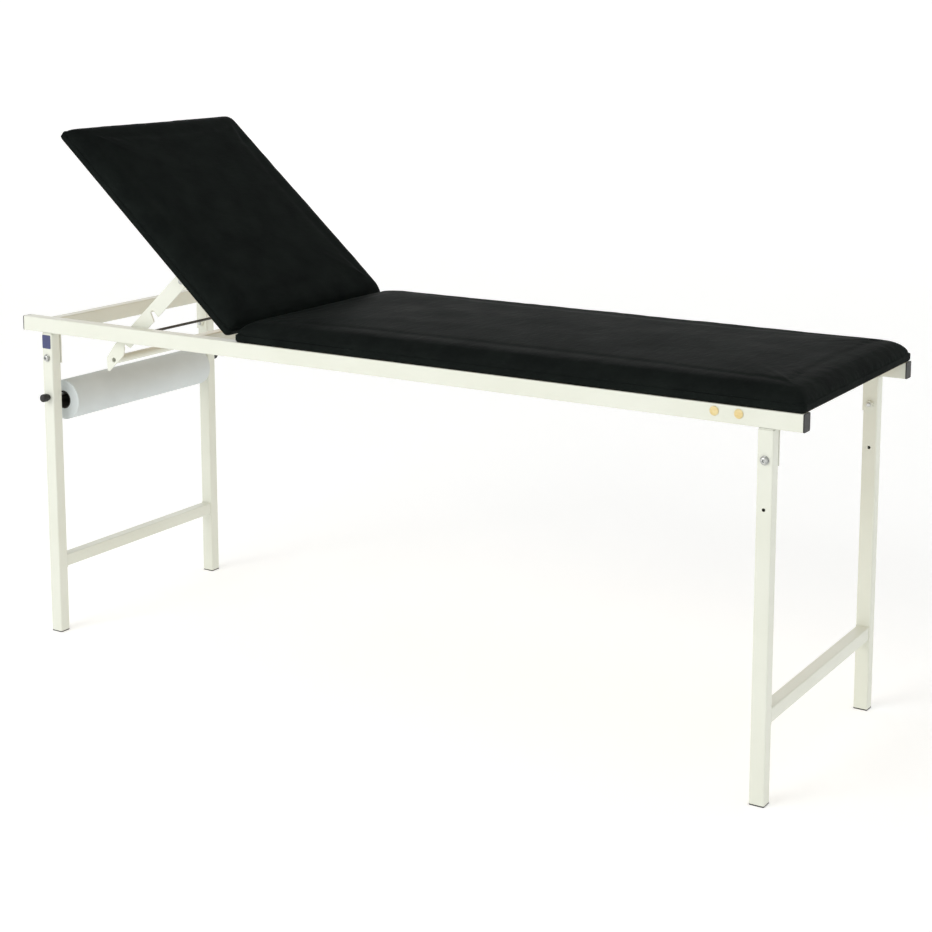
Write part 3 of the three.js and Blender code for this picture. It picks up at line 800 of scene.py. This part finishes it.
def add_light(name, at, size, power):
    """A soft rectangular light that faces the table."""
    lamp = bpy.data.lights.new(name, "AREA")
    lamp.shape = "RECTANGLE"
    lamp.size, lamp.size_y = size
    lamp.energy = power
    made = bpy.data.objects.new(name, lamp)
    made.location = at
    made.rotation_euler = (Vector((0, 0, 0.6)) - Vector(at)).to_track_quat("-Z", "Y").to_euler()
    bpy.context.scene.collection.objects.link(made)


BOWL = {"floor": 8.0, "bend": 3.0, "top": 9.0}
LIGHT = {"world": 0.5, "floor": 0.3, "key": 75, "key_at": (-1.6, -4.2, 3.0), "key_size": (3.0, 2.2)}


def add_studio():
    """A pale floor that curves up into a pale wall all round, and a large soft light."""
    bend = [(BOWL["floor"] + BOWL["bend"] * math.sin(a), BOWL["bend"] * (1 - math.cos(a)))
            for a in [math.pi / 2 * step / 12 for step in range(13)]]
    mesh = ringed("floor", [(0.01, 0), *bend, (BOWL["floor"] + BOWL["bend"], BOWL["top"])], 96)
    mesh.transform(Matrix.Rotation(math.pi / 2, 4, "X"))
    form = bmesh.new()
    form.from_mesh(mesh)
    lid = [face for face in form.faces if face.calc_center_median().z > BOWL["top"] - MM]
    bmesh.ops.delete(form, geom=lid, context="FACES")
    form.to_mesh(mesh)
    form.free()
    for polygon in mesh.polygons:
        polygon.use_smooth = True
    floor = bpy.data.objects.new("floor", mesh)
    bpy.context.scene.collection.objects.link(floor)
    material, _, shader, _ = begin("floor_pale", Roughness=0.9, Specular_IOR_Level=0.2)
    shader.inputs["Base Color"].default_value = srgb(0xF4F4F3)
    shader.inputs["Emission Color"].default_value = srgb(0xFFFFFF)
    shader.inputs["Emission Strength"].default_value = LIGHT["floor"]
    mesh.materials.append(material)
    world = bpy.data.worlds.new("surround")
    bpy.context.scene.world = world
    world.use_nodes = True
    sky = world.node_tree.nodes["Background"]
    sky.inputs["Color"].default_value = srgb(0xFFFFFF)
    sky.inputs["Strength"].default_value = LIGHT["world"]
    add_light("key", LIGHT["key_at"], LIGHT["key_size"], LIGHT["key"])
    bpy.context.scene.view_settings.view_transform = "Standard"


add_camera()
add_studio()
dress_frame()
add_welds()
add_leg_bolts()
add_screws()
add_hole_plugs()
add_roll()
smooth_rod("rod_of_roll", "roll_rod", "zinc_steel", "frame")
smooth_rod("rod_of_ratchet", "ratchet_rod", "dark_steel", "frame")
add_knobs()
add_prop_rounds()
add_foam("seat_foam_block", "seat_foam", "frame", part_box("seat_cover"), Matrix.Identity(4))
add_foam("back_foam_block", "back_foam", "backrest", level_box("back_cover"), RAISED)
add_pad("seat_upholstery", "seat_cover", "frame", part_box("seat_cover"), Matrix.Identity(4), 3)
add_pad("back_upholstery", "back_cover", "backrest", level_box("back_cover"), RAISED, 11)
